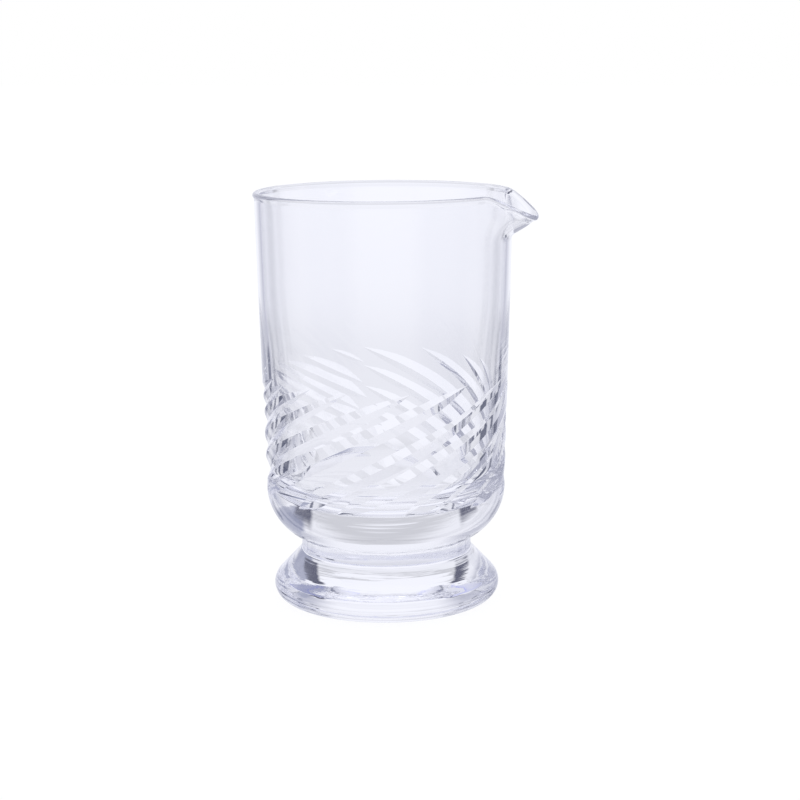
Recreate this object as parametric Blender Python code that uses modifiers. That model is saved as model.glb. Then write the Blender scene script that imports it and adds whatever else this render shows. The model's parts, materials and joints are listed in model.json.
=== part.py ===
"""Mixing glass: a tumbler with a pulled pouring spout and a band of slanted
ground cuts, joined hot to a solid flared foot.

Metres, +Z up. The origin is the centre of the foot's ground underside, Z is
the axis of the glass and the spout points along +X.
"""
import math

import bpy
from mathutils import Vector

# Overall sizes, in metres.
RIM_HEIGHT = 0.1498
RIM_LIP_R = 0.0457           # centre of the rounded lip
LIP_THICK_R = 0.0012         # radius of the lip's bead
JOIN_HEIGHT = 0.0193         # where the tumbler sits on the foot
JOIN_R = 0.0312
JOIN_GAP = 0.0003

# Tumbler.
COLLAR_TOP = 0.0232          # short straight collar above the join
BOTTOM_CENTRE_R = 0.0220     # the rounded bottom is part of an ellipse
BOTTOM_CENTRE_Z = 0.0420
BOTTOM_HALF_W = 0.0217
BOTTOM_HALF_H = 0.0205
WALL_R_LOW = 0.0440          # outer radius at WALL_LOW
WALL_LOW = 0.0560
WALL_TAPER = 0.026           # radius gained per metre of height
CAVITY_FLOOR = 0.0362
FLOOR_BOWL_H = 0.0171        # the floor curves up into the wall over this height
FLOOR_BOWL_POWER = 3.0       # 2 is an ellipse, larger is squarer
THIN_WALL = 0.0020           # wall thickness near the rim
THICK_WALL = 0.0042          # and through the band of cuts
THIN_FROM = 0.1120
THICK_BELOW = 0.0600

# Pouring spout: half its width as an angle, how far it reaches and droops.
SPOUT_HALF_ANGLE = math.radians(27)
SPOUT_ROOT = 0.1315
SPOUT_REACH = 0.0099
SPOUT_DROOP = 0.0082
SPOUT_POWER = 1.15           # above 1 gives a narrower lip
SPOUT_FLOOR_LIFT = 0.0012    # keeps the glass thick along the spout's underside

# Ground cuts: leaf-shaped V grooves that climb the wall like a right-handed
# thread. Each tip is an azimuth in degrees and a height; the spacing is by hand.
CUT_TIPS = (
    (-109.0, 0.0843), (-90.0, 0.0840), (-62.0, 0.0836), (-33.5, 0.0850), (-6.0, 0.0840), (21.0, 0.0840),
    (47.0, 0.0830), (61.5, 0.0823), (87.5, 0.0836), (118.5, 0.0839), (136.5, 0.0840), (157.0, 0.0836),
    (171.0, 0.0828), (185.0, 0.0840), (202.0, 0.0843), (218.0, 0.0840), (234.0, 0.0842))
CUT_BOTTOM = 0.0405
CUT_DEPTH = 0.00145
CUT_HALF_ANGLE = math.radians(68)
CUT_SLOPE = 0.485            # rise over the length around the wall
CUT_STATIONS = 16
CUT_OVERSHOOT = 0.0008       # cutters stand this far out of the wall
CUT_CLOSED = 0.00001         # and miss it by this much at both ends
TIP_LENGTH = 0.0070          # the leaf opens quickly over this height
OPEN_LENGTH = 0.0260         # and fully over this one
TIP_OPENING = 0.60
END_LENGTH = 0.0060

# Cuts past the seam stop at it, and four lower ones start there.
SEAM = 118.0
SEAM_TIPS = (0.0760, 0.0678, 0.0598, 0.0518)

# Hand work: how much the slope and depth differ from one cut to the next.
SLOPE_SPREAD = 0.04
DEPTH_SPREAD = 0.10
SPREAD_STEP = 2.4

# Foot.
FOOT_EDGE_R = 0.0054         # rounded rim of the foot
FOOT_EDGE_CENTRE_R = 0.0361
FOOT_THROAT_R = 0.0316       # below the join the flank turns nearly upright
FOOT_THROAT_Z = 0.0178

STEPS = 80
SHARP_ANGLE = math.radians(18)
GLASS_COLOUR = (0.93, 0.94, 0.97, 1.0)


def clear_scene():
    for obj in list(bpy.data.objects):
        bpy.data.objects.remove(obj, do_unlink=True)


def new_collection(name):
    collection = bpy.data.collections.new(name)
    bpy.context.scene.collection.children.link(collection)
    return collection


def glass_material(name, roughness):
    material = bpy.data.materials.new(name)
    material.use_nodes = True
    shader = material.node_tree.nodes["Principled BSDF"]
    shader.inputs["Base Color"].default_value = GLASS_COLOUR
    shader.inputs["Roughness"].default_value = roughness
    shader.inputs["Metallic"].default_value = 0.0
    shader.inputs["IOR"].default_value = 1.52
    shader.inputs["Transmission Weight"].default_value = 1.0
    return material


def smoothstep(value):
    value = min(max(value, 0.0), 1.0)
    return value * value * (3.0 - 2.0 * value)


def arc(centre_r, centre_z, half_w, half_h, start, end, count):
    """Points on an ellipse, from angle start to end in degrees."""
    points = []
    for i in range(count + 1):
        angle = math.radians(start + (end - start) * i / count)
        r = centre_r + half_w * math.cos(angle)
        z = centre_z + half_h * math.sin(angle)
        points.append((r, z))
    return points


def outer_r(z):
    return WALL_R_LOW + WALL_TAPER * (z - WALL_LOW)


def wall_thickness(z):
    thick = smoothstep((THIN_FROM - z) / (THIN_FROM - THICK_BELOW))
    return THIN_WALL + (THICK_WALL - THIN_WALL) * thick


def inner_r(z):
    return outer_r(z) - wall_thickness(z)


def cavity_floor(count):
    """The inside of the bottom, from the axis up to the wall."""
    wall = inner_r(CAVITY_FLOOR + FLOOR_BOWL_H)
    power = 2.0 / FLOOR_BOWL_POWER
    points = [(0.0, CAVITY_FLOOR)]
    for i in range(1, count):
        angle = 0.5 * math.pi * i / count
        z = CAVITY_FLOOR + FLOOR_BOWL_H * (1.0 - math.cos(angle) ** power)
        points.append((wall * math.sin(angle) ** power, z))
    points.append((wall, CAVITY_FLOOR + FLOOR_BOWL_H))
    return points


def bowl_profile():
    """Half section of the tumbler: cavity floor, inner wall, lip, outside."""
    lip_z = RIM_HEIGHT - LIP_THICK_R
    points = cavity_floor(9)
    for z in (0.064, 0.080, 0.096, 0.112, SPOUT_ROOT, 0.136, 0.1405, 0.145):
        points.append((inner_r(z), z))
    points += arc(RIM_LIP_R, lip_z, LIP_THICK_R, LIP_THICK_R, 180, 0, 6)
    for z in (0.145, 0.1405, 0.136, SPOUT_ROOT, 0.112, 0.088, WALL_LOW):
        points.append((outer_r(z), z))
    points += arc(BOTTOM_CENTRE_R, BOTTOM_CENTRE_Z, BOTTOM_HALF_W, BOTTOM_HALF_H, 8, -63, 7)
    points.append((JOIN_R, COLLAR_TOP))
    points.append((JOIN_R, JOIN_HEIGHT + JOIN_GAP))
    points.append((0.0, JOIN_HEIGHT + JOIN_GAP))
    return points


def foot_profile():
    """Half section of the foot: top face, flank, rounded rim, underside."""
    points = [(0.0, JOIN_HEIGHT), (JOIN_R, JOIN_HEIGHT), (FOOT_THROAT_R, FOOT_THROAT_Z)]
    centre_z = FOOT_EDGE_R
    points += arc(FOOT_EDGE_CENTRE_R, centre_z, FOOT_EDGE_R, FOOT_EDGE_R, 48, -90, 8)
    points.append((0.0, 0.0))
    return points


def turned(name, profile, collection):
    """A closed solid turned from a half section with a Screw modifier."""
    mesh = bpy.data.meshes.new(name)
    edges = [(i, i + 1) for i in range(len(profile) - 1)]
    mesh.from_pydata([(r, 0.0, z) for r, z in profile], edges, [])
    obj = bpy.data.objects.new(name, mesh)
    collection.objects.link(obj)
    screw = obj.modifiers.new("turn", "SCREW")
    screw.angle = 2.0 * math.pi
    screw.steps = STEPS
    screw.render_steps = STEPS
    screw.use_merge_vertices = True
    screw.merge_threshold = 0.00001
    return obj


def bake_modifiers(obj):
    """Replace the object's mesh with its evaluated mesh."""
    evaluated = obj.evaluated_get(bpy.context.evaluated_depsgraph_get())
    mesh = bpy.data.meshes.new_from_object(evaluated)
    old = obj.data
    obj.modifiers.clear()
    obj.data = mesh
    mesh.name = obj.name
    bpy.data.meshes.remove(old)


def spout_strength(azimuth):
    """1 along the spout's centre line, 0 outside its half angle."""
    if abs(azimuth) >= SPOUT_HALF_ANGLE:
        return 0.0
    return 0.5 * (1.0 + math.cos(math.pi * azimuth / SPOUT_HALF_ANGLE))


def pull_spout(obj):
    """Draw the rim out and down along +X, as the hot rim is drawn to a lip."""
    height = RIM_HEIGHT - SPOUT_ROOT
    for vertex in obj.data.vertices:
        x, y, z = vertex.co
        strength = spout_strength(math.atan2(y, x))
        u = min((z - SPOUT_ROOT) / height, 1.0)
        r = math.hypot(x, y)
        if strength == 0.0 or u <= 0.0 or r < 0.01:
            continue
        reach = SPOUT_REACH * u * u * (1.6 - 0.6 * u) * strength ** SPOUT_POWER
        droop = SPOUT_DROOP * math.sin(0.5 * math.pi * u ** 1.4) * strength ** SPOUT_POWER
        inside = min(max((RIM_LIP_R - r) / LIP_THICK_R, 0.0), 1.0)
        lift = SPOUT_FLOOR_LIFT * 4.0 * u * (1.0 - u) * strength * inside
        grow = (r + reach) / r
        vertex.co = Vector((x * grow, y * grow, z - droop + lift))


def leaf_opening(z, top, bottom):
    """How deep a leaf is at height z, from 0 at its ends to 1."""
    tip = math.sin(0.5 * math.pi * min((top - z) / TIP_LENGTH, 1.0))
    body = smoothstep((top - z) / OPEN_LENGTH)
    end = math.sin(0.5 * math.pi * min((z - bottom) / END_LENGTH, 1.0))
    return (TIP_OPENING * tip + (1.0 - TIP_OPENING) * body) * end


def cut_section(share, tip_azimuth, top, bottom):
    """Bottom, upper and lower corner of a leaf cutter, share of the way up it."""
    hand = math.sin(SPREAD_STEP * tip_azimuth)
    z = bottom + (top - bottom) * share
    around = (top - z) * (1.0 + SLOPE_SPREAD * hand) / CUT_SLOPE
    azimuth = math.radians(tip_azimuth) - around / WALL_R_LOW
    deepest = CUT_DEPTH * (1.0 + DEPTH_SPREAD * hand)
    depth = deepest * leaf_opening(z, top, bottom) - CUT_CLOSED
    half = (depth + CUT_OVERSHOOT) * math.tan(CUT_HALF_ANGLE)
    lean = math.atan(CUT_SLOPE)
    corners = []
    for out, side in ((-depth, 0.0), (CUT_OVERSHOOT, 1.0), (CUT_OVERSHOOT, -1.0)):
        r = outer_r(z) + out
        a = azimuth - side * half * math.sin(lean) / WALL_R_LOW
        corners.append((r * math.cos(a), r * math.sin(a), z + side * half * math.cos(lean)))
    return corners


def leaf_cutter(name, tip_azimuth, top, bottom, collection):
    """A wedge lofted along a helix, with stations closest together at its ends."""
    vertices = []
    faces = [(0, 2, 1)]
    for station in range(CUT_STATIONS + 1):
        share = 0.5 * (1.0 - math.cos(math.pi * station / CUT_STATIONS))
        vertices += cut_section(share, tip_azimuth, top, bottom)
    for station in range(CUT_STATIONS):
        a = 3 * station
        faces.append((a, a + 1, a + 4, a + 3))
        faces.append((a + 1, a + 2, a + 5, a + 4))
        faces.append((a + 2, a, a + 3, a + 5))
    last = 3 * CUT_STATIONS
    faces.append((last, last + 1, last + 2))
    mesh = bpy.data.meshes.new(name)
    mesh.from_pydata(vertices, [], faces)
    obj = bpy.data.objects.new(name, mesh)
    obj.hide_render = True
    obj.display_type = "WIRE"
    collection.objects.link(obj)
    return obj


def leaf_bottom(tip_azimuth, top):
    """Where a leaf ends: at the seam if it starts past it, or at the base."""
    if tip_azimuth <= SEAM + 1.0:
        return CUT_BOTTOM
    drop = math.radians(tip_azimuth - SEAM) * WALL_R_LOW * CUT_SLOPE
    return max(CUT_BOTTOM, top - drop)


def cut_leaves(bowl, collection):
    for index, (tip_azimuth, top) in enumerate(CUT_TIPS):
        name = "leaf_cutter_%02d" % index
        leaf_cutter(name, tip_azimuth, top, leaf_bottom(tip_azimuth, top), collection)
    for index, top in enumerate(SEAM_TIPS):
        leaf_cutter("seam_cutter_%02d" % index, SEAM, top, CUT_BOTTOM, collection)
    cut = bowl.modifiers.new("ground cuts", "BOOLEAN")
    cut.operation = "DIFFERENCE"
    cut.operand_type = "COLLECTION"
    cut.collection = collection
    cut.solver = "EXACT"


def main():
    clear_scene()
    parts = new_collection("mixing_glass")
    cutters = new_collection("cutters")

    bowl = turned("bowl", bowl_profile(), parts)
    bake_modifiers(bowl)
    pull_spout(bowl)
    bowl.data.materials.append(glass_material("bowl_glass", 0.02))
    cut_leaves(bowl, cutters)

    foot = turned("foot", foot_profile(), parts)
    bake_modifiers(foot)
    foot.data.materials.append(glass_material("foot_glass", 0.02))

    for obj in (bowl, foot):
        obj.data.shade_smooth()
        obj.data.set_sharp_from_angle(angle=SHARP_ANGLE)


main()
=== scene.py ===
import json
import math

import bpy
import numpy as np
from mathutils import Matrix, Vector

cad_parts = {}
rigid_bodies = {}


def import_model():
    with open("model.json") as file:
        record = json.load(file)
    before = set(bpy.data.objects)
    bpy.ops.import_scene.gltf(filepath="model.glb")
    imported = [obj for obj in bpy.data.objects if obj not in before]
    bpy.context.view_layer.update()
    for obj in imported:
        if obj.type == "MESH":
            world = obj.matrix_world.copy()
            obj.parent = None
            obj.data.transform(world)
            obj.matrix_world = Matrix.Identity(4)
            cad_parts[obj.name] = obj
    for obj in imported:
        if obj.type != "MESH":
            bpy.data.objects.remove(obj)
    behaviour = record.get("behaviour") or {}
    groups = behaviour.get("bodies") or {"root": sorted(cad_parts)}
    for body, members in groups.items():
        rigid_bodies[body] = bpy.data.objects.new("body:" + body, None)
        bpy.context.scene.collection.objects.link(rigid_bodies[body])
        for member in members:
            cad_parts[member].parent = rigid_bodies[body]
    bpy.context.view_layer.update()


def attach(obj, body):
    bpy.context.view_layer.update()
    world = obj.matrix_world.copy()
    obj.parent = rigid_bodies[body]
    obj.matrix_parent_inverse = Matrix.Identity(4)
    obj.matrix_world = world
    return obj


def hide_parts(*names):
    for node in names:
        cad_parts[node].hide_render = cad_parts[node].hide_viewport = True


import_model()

# The glass, in millimetres from the centre of its underside.
MM = 0.001
COLUMNS = 384             # points around the axis
RIM_Z = 149.8
LIP_R = 45.7              # centre of the rounded lip
LIP_BEAD = 1.2            # its radius
LIP_START = 147.4         # the wall runs up to here
WALL_R = 44.0             # outer radius at WALL_Z
WALL_Z = 56.0
WALL_TAPER = 0.026
THIN_WALL = 2.0
EXTRA_WALL = 2.2          # added through the band of cuts
THIN_FROM = 112.0
THICKENING = 52.0
FLOOR_Z = 36.2            # inside of the bottom, on the axis
FLOOR_H = 17.1            # it curves up into the wall over this height
FLOOR_POWER = 3.0         # 2 is an ellipse, larger is squarer
BOTTOM_R = 22.0           # the outside of the bottom is part of an ellipse
BOTTOM_Z = 42.0
BOTTOM_HALF_W = 21.7
BOTTOM_HALF_H = 20.5
COLLAR_Z = 23.0           # top of the short collar over the join
JOIN_Z = 19.3
JOIN_R = 31.2
JOIN_GAP = 0.03
THROAT = ((31.25, JOIN_Z), (31.5, 18.4), (31.9, 17.7))  # radius and height, down from the join
FOOT_EDGE = 5.4           # radius of the foot's rounded edge
FOOT_EDGE_R = 36.1
UNDERSIDE_R = 34.0        # the underside is flat within this radius

# The pouring spout, drawn out and down along +X.
SPOUT_ROOT = 131.5
SPOUT_HALF = math.radians(27)
SPOUT_REACH = 9.9
SPOUT_DROOP = 8.2
SPOUT_LIFT = 1.2          # keeps the glass thick under the spout
SPOUT_POWER = 1.15        # above 1 gives a narrower lip
SPOUT_SWELL = 0.33        # how much thicker the rounded lip is there

# The ground cuts: the azimuth in degrees and the height of each leaf's tip.
CUT_TIPS = ((-109, 84.3), (-90, 84.0), (-62, 83.6), (-33.5, 85.0), (-6, 84.0), (21, 84.0), (47, 83.0),
            (61.5, 82.3), (87.5, 83.6), (118.5, 83.9), (136.5, 84.0), (157, 83.6), (171, 82.8),
            (185, 84.0), (202, 84.3), (218, 84.0), (234, 84.2))
CUT_BOTTOM = 40.5
CUT_DEPTH = 1.45
CUT_HALF = math.radians(68)
CUT_SLOPE = 0.485         # rise over the length around the wall
CUT_STATIONS = 72
CUT_OVERSHOOT = 0.4       # the cutters stand this far out of the wall
CUT_CLOSED = 0.01         # and stop this far short of it at a leaf's ends
TIP_RUN = 7.0             # a leaf opens quickly over this height
TIP_OPENING = 0.60
BODY_RUN = 26.0           # and fully over this one
END_RUN = 6.0
SEAM = 118.0              # leaves past this azimuth stop at it
SEAM_TIPS = (76.0, 67.8, 59.8, 51.8)
SEAM_MARGIN = 1.0

# How unsteady the cutting hand is.
HAND_STEP = 2.4           # varies the hand from leaf to leaf
SLOPE_SPREAD = 0.04
DEPTH_SPREAD = 0.10
SWAY = 0.006              # sideways, in radians around the glass
SWAY_LENGTH = 5.0
SWAY_FROM = 8.0           # a leaf starts to sway over this drop from its tip
RIPPLE = 0.07             # in depth
RIPPLE_LENGTH = 3.5

# Clear soda-lime glass with fine turning rings, strongest near the foot.
GLASS_IOR = 1.52
SHARP = math.radians(16)
FLAT = 0.99               # least upward part of a level face's normal
JOIN_MARGIN = 0.1
RING_SCALE = (22.0, 22.0, 420.0)
RING_DEPTH = 0.0001
RING_HEIGHTS = (0.040, 0.012)
RING_STRENGTHS = (0.04, 1.0)
SMEAR = 0.02              # greatest roughness, in patches
SMEAR_RANGE = (0.55, 0.8)
ABSORB_COLOUR = (0.94, 0.945, 1.0)
ABSORB_DENSITY = 2.0
MAX_BOUNCES = 14
TRANSPARENT_BOUNCES = 32
# Painted glow: the grey the glass emits where a path runs out of bounces.
PAINTED_GLOW_TONE = (0.40, 0.41, 0.50)

# The light tent around the camera: brightness against elevation, in degrees.
TENT = ((-40, 0.84), (-20, 0.78), (-9, 0.70), (-4, 0.76), (0, 0.85), (2.4, 0.885), (6.4, 0.925), (9, 0.91),
        (20, 0.91), (25.2, 0.85), (26.1, 0.60), (26.7, 0.60), (27.1, 0.94), (45, 0.96), (70, 0.96))
TENT_TINT = (0.985, 0.995, 1.08)

# Patches of the tent, laid over it in turn: whether both sides have it, the
# angles over which its side and height edges fade in, and its colour.
PATCHES = (
    (True, ((16, 36),), ((24, 16), (-14, -4)), (0.48, 0.49, 0.59)),
    (True, ((80, 120),), ((60, 30),), (0.74, 0.75, 0.83)),
    (False, ((35, 39), (70, 60)), ((27.5, 26.5), (3, 8)), (0.32, 0.34, 0.47)),
    (False, ((84, 106), (158, 136)), ((-34, -28), (6, 2)), (0.32, 0.34, 0.47)),
    (True, ((50, 53), (65, 62)), ((18, 8),), (0.06, 0.07, 0.13)),
    (True, ((23, 25), (34, 31)), ((-7, -9), (-19, -17)), (0.05, 0.06, 0.12)),
    (True, ((38, 40), (45, 43)), ((-1, -7),), (0.08, 0.09, 0.15)),
    (True, ((31, 34), (48, 44)), ((23.5, 25.5), (37, 34)), (0.05, 0.055, 0.11)))
SKY_TONE = (1.0, 1.0, 1.0)
FLOOR_TONE = (0.97, 0.97, 0.98)
FLOOR_ALBEDO = 0.05
FLOOR_SIZE = 12.0
FLOOR_DROP = 0.0002

CAMERA_AZIMUTH = math.radians(16.5)
CAMERA_DISTANCE = 0.6757
CAMERA_HEIGHT = 0.2067
CAMERA_PITCH = math.radians(-11.18)
CAMERA_ROLL = math.radians(-0.5)
CAMERA_SENSOR = 36.0
CAMERA_LENS = 84.67
CAMERA_SHIFT = 0.0185


def smoothstep(v):
    v = np.clip(v, 0.0, 1.0)
    return v * v * (3.0 - 2.0 * v)


def outer_r(z):
    return WALL_R + WALL_TAPER * (z - WALL_Z)


def inner_r(z):
    return outer_r(z) - THIN_WALL - EXTRA_WALL * smoothstep((THIN_FROM - z) / THICKENING)


def arc(centre_r, centre_z, half_w, half_h, start, end, count):
    """Points on an ellipse, from angle start to end in degrees."""
    angles = np.radians(np.linspace(start, end, count))
    return [(centre_r + half_w * math.cos(a), centre_z + half_h * math.sin(a)) for a in angles]


def cavity_floor():
    wall = float(inner_r(FLOOR_Z + FLOOR_H))
    power = 2.0 / FLOOR_POWER
    points = []
    for a in np.linspace(0.0, 0.5 * math.pi, 40):
        rise = 1.0 - max(math.cos(a), 0.0) ** power
        points.append((wall * math.sin(a) ** power, FLOOR_Z + FLOOR_H * rise))
    return points


def bowl_profile():
    """Half section of the tumbler: cavity floor, inner wall, lip, outside."""
    low = np.linspace(WALL_Z, SPOUT_ROOT, 26)
    high = np.linspace(SPOUT_ROOT + 0.8, LIP_START, 18)
    points = cavity_floor()
    points += [(float(inner_r(z)), z) for z in (*low, *high)]
    points += arc(LIP_R, RIM_Z - LIP_BEAD, LIP_BEAD, LIP_BEAD, 185, -10, 18)
    points += [(float(outer_r(z)), z) for z in (*high[::-1], *low[::-1], 51.0, 46.0)]
    points += arc(BOTTOM_R, BOTTOM_Z, BOTTOM_HALF_W, BOTTOM_HALF_H, 6, -63.5, 30)
    points += [(JOIN_R, z) for z in (COLLAR_Z, 21.0, JOIN_Z + JOIN_GAP)]
    points += [(r, JOIN_Z + JOIN_GAP) for r in (20.0, 10.0, 0.0)]
    return points


def foot_profile():
    """Half section of the foot: top face, throat, flank, edge, underside."""
    points = [(r, JOIN_Z) for r in (0.0, 10.0, 20.0)]
    points += THROAT
    points += arc(FOOT_EDGE_R, FOOT_EDGE, FOOT_EDGE, FOOT_EDGE, 46, -90, 36)
    points += [(r, 0.0) for r in np.linspace(UNDERSIDE_R, 0.0, 24)]
    return points


def new_object(name, verts, faces, collection):
    """A mesh object from points in millimetres."""
    mesh = bpy.data.meshes.new(name)
    mesh.from_pydata([tuple(MM * c for c in v) for v in verts], [], faces)
    obj = bpy.data.objects.new(name, mesh)
    collection.objects.link(obj)
    return obj


def ring_faces(a, b):
    """Faces between two rings of points; a ring of one point is a pole."""
    faces = []
    for i in range(COLUMNS):
        j = (i + 1) % COLUMNS
        if len(a) == 1:
            faces.append((a[0], b[i], b[j]))
        elif len(b) == 1:
            faces.append((a[j], a[i], b[0]))
        else:
            faces.append((a[i], b[i], b[j], a[j]))
    return faces


def turned(name, profile):
    """A solid turned about Z from a half section that starts and ends on the axis."""
    around = 2.0 * np.pi * np.arange(COLUMNS) / COLUMNS
    verts = []
    rings = []
    for r, z in profile:
        first = len(verts)
        if r < 1e-6:
            verts.append((0.0, 0.0, z))
        else:
            verts += [(r * c, r * s, z) for c, s in zip(np.cos(around), np.sin(around))]
        rings.append(range(first, len(verts)))
    faces = []
    for a, b in zip(rings, rings[1:]):
        faces += ring_faces(a, b)
    return new_object(name, verts, faces, bpy.context.scene.collection)


def pull_spout(obj):
    """Draw the rim out and down around +X, with a thicker lip there."""
    for v in obj.data.vertices:
        x, y, z = v.co / MM
        azimuth = math.atan2(y, x)
        up = min((z - SPOUT_ROOT) / (RIM_Z - SPOUT_ROOT), 1.0)
        r = math.hypot(x, y)
        if abs(azimuth) >= SPOUT_HALF or up <= 0.0 or r < JOIN_R:
            continue
        strength = 0.5 * (1.0 + math.cos(math.pi * azimuth / SPOUT_HALF))
        if z > LIP_START:
            swell = 1.0 + SPOUT_SWELL * math.sqrt(strength)
            thick_r = LIP_R + (r - LIP_R) * swell
            z = RIM_Z - LIP_BEAD + (z - RIM_Z + LIP_BEAD) * swell
            x, y, r = x * thick_r / r, y * thick_r / r, thick_r
        reach = SPOUT_REACH * up * up * (1.6 - 0.6 * up) * strength ** SPOUT_POWER
        droop = SPOUT_DROOP * math.sin(0.5 * math.pi * up ** 1.4) * strength ** SPOUT_POWER
        inside = min(max((LIP_R - r) / LIP_BEAD, 0.0), 1.0)
        lift = SPOUT_LIFT * 4.0 * up * (1.0 - up) * strength * inside
        grow = (r + reach) / r
        v.co = Vector((x * grow, y * grow, z - droop + lift)) * MM


def leaf_opening(z, top, bottom):
    """How deep a leaf is at height z, from 0 at its ends to 1."""
    tip = math.sin(0.5 * math.pi * min((top - z) / TIP_RUN, 1.0))
    body = smoothstep((top - z) / BODY_RUN)
    end = math.sin(0.5 * math.pi * min((z - bottom) / END_RUN, 1.0))
    return (TIP_OPENING * tip + (1.0 - TIP_OPENING) * body) * end


def leaf_section(z, tip_azimuth, top, bottom):
    """Bottom, upper and lower corner of a leaf cutter at height z, a little unsteady as if by hand."""
    hand = math.sin(HAND_STEP * tip_azimuth)
    drop = top - z
    azimuth = math.radians(tip_azimuth) - drop * (1.0 + SLOPE_SPREAD * hand) / CUT_SLOPE / WALL_R
    azimuth += SWAY * math.sin(drop / SWAY_LENGTH + 3.0 * hand) * smoothstep(drop / SWAY_FROM)
    ripple = RIPPLE * math.sin(drop / RIPPLE_LENGTH + 5.0 * hand)
    deepest = CUT_DEPTH * (1.0 + DEPTH_SPREAD * hand + ripple)
    depth = deepest * leaf_opening(z, top, bottom) - CUT_CLOSED
    half = (depth + CUT_OVERSHOOT) * math.tan(CUT_HALF)
    lean = math.atan(CUT_SLOPE)
    corners = []
    for out, side in ((-depth, 0.0), (CUT_OVERSHOOT, 1.0), (CUT_OVERSHOOT, -1.0)):
        r = outer_r(z) + out
        a = azimuth - side * half * math.sin(lean) / WALL_R
        corners.append((r * math.cos(a), r * math.sin(a), z + side * half * math.cos(lean)))
    return corners


def leaf_cutter(name, tip_azimuth, top, bottom, collection):
    """A three-sided bar that follows one leaf down the wall."""
    verts = []
    for z in np.linspace(bottom, top, CUT_STATIONS + 1):
        verts += leaf_section(z, tip_azimuth, top, bottom)
    faces = [(0, 2, 1)]
    for station in range(CUT_STATIONS):
        a = 3 * station
        faces.append((a, a + 1, a + 4, a + 3))
        faces.append((a + 1, a + 2, a + 5, a + 4))
        faces.append((a + 2, a, a + 3, a + 5))
    last = 3 * CUT_STATIONS
    faces.append((last, last + 1, last + 2))
    new_object(name, verts, faces, collection)


def leaf_bottom(tip_azimuth, top):
    """Where a leaf ends: at the seam if it starts past it, or at the base."""
    if tip_azimuth <= SEAM + SEAM_MARGIN:
        return CUT_BOTTOM
    return max(CUT_BOTTOM, top - math.radians(tip_azimuth - SEAM) * WALL_R * CUT_SLOPE)


def cut_leaves(bowl):
    cutters = bpy.data.collections.new("cutters")
    bpy.context.scene.collection.children.link(cutters)
    for i, (tip_azimuth, top) in enumerate(CUT_TIPS):
        leaf_cutter("leaf_%02d" % i, tip_azimuth, top, leaf_bottom(tip_azimuth, top), cutters)
    for i, top in enumerate(SEAM_TIPS):
        leaf_cutter("seam_leaf_%02d" % i, SEAM, top, CUT_BOTTOM, cutters)
    cut = bowl.modifiers.new("cuts", "BOOLEAN")
    cut.operand_type = "COLLECTION"
    cut.collection = cutters
    cut.solver = "MANIFOLD"
    evaluated = bowl.evaluated_get(bpy.context.evaluated_depsgraph_get())
    mesh = bpy.data.meshes.new_from_object(evaluated)
    bowl.modifiers.clear()
    bowl.data = mesh
    for obj in list(cutters.objects):
        bpy.data.objects.remove(obj)
    bpy.data.collections.remove(cutters)


def feed(tree, socket, value):
    """Set an input from a number, a colour or another node's output."""
    if isinstance(value, bpy.types.NodeSocket):
        tree.links.new(value, socket)
    elif isinstance(value, tuple) and len(socket.default_value) == 4:
        socket.default_value = (*value, 1.0)
    else:
        socket.default_value = value


def math_node(tree, operation, *values):
    node = tree.nodes.new("ShaderNodeMath")
    node.operation = operation
    for socket, value in zip(node.inputs, values):
        feed(tree, socket, value)
    return node.outputs[0]


def map_range(tree, value, start, end, low=0.0, high=1.0):
    """Smoothly low to high as value goes from start to end."""
    node = tree.nodes.new("ShaderNodeMapRange")
    node.interpolation_type = "SMOOTHSTEP"
    feed(tree, node.inputs["Value"], value)
    feed(tree, node.inputs["From Min"], start)
    feed(tree, node.inputs["From Max"], end)
    feed(tree, node.inputs["To Min"], low)
    feed(tree, node.inputs["To Max"], high)
    return node.outputs[0]


def blend_colour(tree, factor, a, b):
    node = tree.nodes.new("ShaderNodeMix")
    node.data_type = "RGBA"
    feed(tree, node.inputs[0], factor)
    feed(tree, node.inputs[6], a)
    feed(tree, node.inputs[7], b)
    return node.outputs[2]


def absorb(tree):
    """A faint tint that deepens with the length of glass seen through."""
    volume = tree.nodes.new("ShaderNodeVolumeAbsorption")
    feed(tree, volume.inputs["Color"], ABSORB_COLOUR)
    feed(tree, volume.inputs["Density"], ABSORB_DENSITY)
    tree.links.new(volume.outputs[0], tree.nodes["Material Output"].inputs["Volume"])


def turning_rings(tree):
    """Noise stretched around the glass, and the bump it makes towards the foot."""
    place = tree.nodes.new("ShaderNodeTexCoord").outputs["Object"]
    stretch = tree.nodes.new("ShaderNodeMapping")
    feed(tree, stretch.inputs["Vector"], place)
    stretch.inputs["Scale"].default_value = RING_SCALE
    noise = tree.nodes.new("ShaderNodeTexNoise")
    feed(tree, noise.inputs["Vector"], stretch.outputs[0])
    feed(tree, noise.inputs["Scale"], 1.0)
    feed(tree, noise.inputs["Detail"], 3.0)
    height = tree.nodes.new("ShaderNodeSeparateXYZ")
    feed(tree, height.inputs[0], place)
    bump = tree.nodes.new("ShaderNodeBump")
    feed(tree, bump.inputs["Distance"], RING_DEPTH)
    feed(tree, bump.inputs["Strength"], map_range(tree, height.outputs["Z"], *RING_HEIGHTS, *RING_STRENGTHS))
    feed(tree, bump.inputs["Height"], noise.outputs[0])
    return noise.outputs[0], bump.outputs[0]


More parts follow.
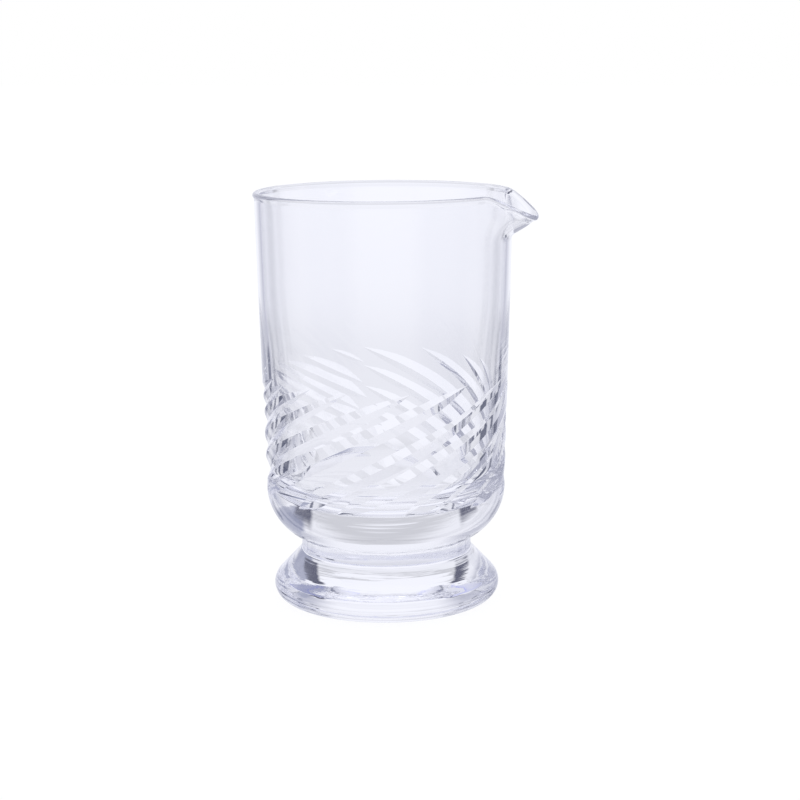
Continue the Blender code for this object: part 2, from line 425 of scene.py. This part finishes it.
def clear_glass(name):
    material = bpy.data.materials.new(name)
    material.use_nodes = True
    tree = material.node_tree
    shader = tree.nodes["Principled BSDF"]
    noise, normal = turning_rings(tree)
    feed(tree, shader.inputs["Base Color"], (1.0, 1.0, 1.0))
    feed(tree, shader.inputs["IOR"], GLASS_IOR)
    feed(tree, shader.inputs["Transmission Weight"], 1.0)
    feed(tree, shader.inputs["Normal"], normal)
    feed(tree, shader.inputs["Roughness"], map_range(tree, noise, *SMEAR_RANGE, 0.0, SMEAR))
    # Painted glow: light trapped by many reflections ends as a grey that the glass itself emits, instead of
    # black.
    depth = tree.nodes.new("ShaderNodeLightPath").outputs["Ray Depth"]
    feed(tree, shader.inputs["Emission Color"], PAINTED_GLOW_TONE)
    feed(tree, shader.inputs["Emission Strength"], math_node(tree, "COMPARE", depth, MAX_BOUNCES - 1.0, 0.5))
    absorb(tree)
    return material


def fused_joint(name):
    """The faces where the two pieces meet, melted into each other and so unseen."""
    material = bpy.data.materials.new(name)
    material.use_nodes = True
    tree = material.node_tree
    tree.nodes.remove(tree.nodes["Principled BSDF"])
    through = tree.nodes.new("ShaderNodeBsdfTransparent")
    tree.links.new(through.outputs[0], tree.nodes["Material Output"].inputs["Surface"])
    absorb(tree)
    return material


def dress(obj, material, joint):
    """Clear glass everywhere but on the faces that meet at the join."""
    obj.data.materials.clear()
    obj.data.materials.append(material)
    obj.data.materials.append(joint)
    for face in obj.data.polygons:
        x, y, z = face.center / MM
        level = abs(z - JOIN_Z) < 2.0 * JOIN_GAP and abs(face.normal.z) > FLAT
        face.material_index = int(level and math.hypot(x, y) < JOIN_R + JOIN_MARGIN)
    obj.data.shade_smooth()
    obj.data.set_sharp_from_angle(angle=SHARP)


def add_glass():
    bowl = turned("bowl_glass", bowl_profile())
    pull_spout(bowl)
    cut_leaves(bowl)
    foot = turned("foot_glass", foot_profile())
    joint = fused_joint("fused_joint")
    for obj, node in ((bowl, "bowl"), (foot, "foot")):
        dress(obj, clear_glass(obj.name), joint)
        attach(obj, "root")
        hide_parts(node)


def tent_tone(tree, rise):
    """The tent's colour at an elevation."""
    lowest = TENT[0][0]
    highest = TENT[-1][0]
    level = tree.nodes.new("ShaderNodeMapRange")
    feed(tree, level.inputs["Value"], rise)
    feed(tree, level.inputs["From Min"], math.radians(lowest))
    feed(tree, level.inputs["From Max"], math.radians(highest))
    ramp = tree.nodes.new("ShaderNodeValToRGB")
    feed(tree, ramp.inputs[0], level.outputs[0])
    stops = ramp.color_ramp.elements
    while len(stops) < len(TENT):
        stops.new(0.5)
    for stop, (angle, tone) in zip(stops, TENT):
        stop.position = (angle - lowest) / (highest - lowest)
        stop.color = (*(tone * c for c in TENT_TINT), 1.0)
    return ramp.outputs[0]


def light_field(tree, direction):
    """The tent's colour along a direction, which turns with the camera as a studio set would."""
    turn = tree.nodes.new("ShaderNodeVectorTransform")
    turn.vector_type = "VECTOR"
    turn.convert_from = "WORLD"
    turn.convert_to = "CAMERA"
    feed(tree, turn.inputs[0], direction)
    axes = tree.nodes.new("ShaderNodeSeparateXYZ")
    feed(tree, axes.inputs[0], turn.outputs[0])
    right = math_node(tree, "ARCTAN2", axes.outputs["X"], axes.outputs["Z"])
    aside = math_node(tree, "ABSOLUTE", right)
    rise = math_node(tree, "ARCSINE", axes.outputs["Y"])
    colour = tent_tone(tree, rise)
    for both_sides, side_edges, height_edges, tone in PATCHES:
        across = aside if both_sides else right
        edges = [map_range(tree, across, *map(math.radians, edge)) for edge in side_edges]
        edges += [map_range(tree, rise, *map(math.radians, edge)) for edge in height_edges]
        mask = edges[0]
        for edge in edges[1:]:
            mask = math_node(tree, "MULTIPLY", mask, edge)
        colour = blend_colour(tree, mask, colour, tone)
    return colour


def seen_or_lit(tree, seen, direction):
    """A plain colour to the camera and the light field to everything else."""
    camera_ray = tree.nodes.new("ShaderNodeLightPath").outputs["Is Camera Ray"]
    return blend_colour(tree, camera_ray, light_field(tree, direction), seen)


def floor_material():
    material = bpy.data.materials.new("floor")
    material.use_nodes = True
    tree = material.node_tree
    tree.nodes.remove(tree.nodes["Principled BSDF"])
    onward = tree.nodes.new("ShaderNodeVectorMath")
    onward.operation = "SCALE"
    feed(tree, onward.inputs[0], tree.nodes.new("ShaderNodeNewGeometry").outputs["Incoming"])
    feed(tree, onward.inputs["Scale"], -1.0)
    glow = tree.nodes.new("ShaderNodeEmission")
    feed(tree, glow.inputs["Color"], seen_or_lit(tree, FLOOR_TONE, onward.outputs[0]))
    matt = tree.nodes.new("ShaderNodeBsdfDiffuse")
    feed(tree, matt.inputs["Color"], (FLOOR_ALBEDO, FLOOR_ALBEDO, FLOOR_ALBEDO))
    both = tree.nodes.new("ShaderNodeAddShader")
    feed(tree, both.inputs[0], glow.outputs[0])
    feed(tree, both.inputs[1], matt.outputs[0])
    tree.links.new(both.outputs[0], tree.nodes["Material Output"].inputs["Surface"])
    return material


def add_floor():
    bpy.ops.mesh.primitive_plane_add(size=FLOOR_SIZE, location=(0.0, 0.0, -FLOOR_DROP))
    floor = bpy.context.object
    floor.name = "floor"
    floor.data.materials.append(floor_material())


def add_world():
    world = bpy.data.worlds.new("studio")
    bpy.context.scene.world = world
    world.use_nodes = True
    tree = world.node_tree
    direction = tree.nodes.new("ShaderNodeTexCoord").outputs["Generated"]
    feed(tree, tree.nodes["Background"].inputs["Color"], seen_or_lit(tree, SKY_TONE, direction))


def add_camera():
    data = bpy.data.cameras.new("camera")
    data.sensor_width = CAMERA_SENSOR
    data.lens = CAMERA_LENS
    data.shift_x = CAMERA_SHIFT
    camera = bpy.data.objects.new("camera", data)
    bpy.context.scene.collection.objects.link(camera)
    x = CAMERA_DISTANCE * math.sin(CAMERA_AZIMUTH)
    y = -CAMERA_DISTANCE * math.cos(CAMERA_AZIMUTH)
    camera.location = (x, y, CAMERA_HEIGHT)
    turn = Matrix.Rotation(CAMERA_AZIMUTH, 3, "Z")
    turn = turn @ Matrix.Rotation(math.radians(90) + CAMERA_PITCH, 3, "X")
    camera.rotation_euler = (turn @ Matrix.Rotation(CAMERA_ROLL, 3, "Z")).to_euler()
    bpy.context.scene.camera = camera


def set_light_paths():
    scene = bpy.context.scene
    scene.view_settings.view_transform = "Standard"
    scene.cycles.max_bounces = MAX_BOUNCES
    scene.cycles.transmission_bounces = MAX_BOUNCES
    scene.cycles.glossy_bounces = MAX_BOUNCES
    scene.cycles.transparent_max_bounces = TRANSPARENT_BOUNCES
    scene.cycles.use_denoising = True


add_glass()
add_floor()
add_world()
add_camera()
set_light_paths()
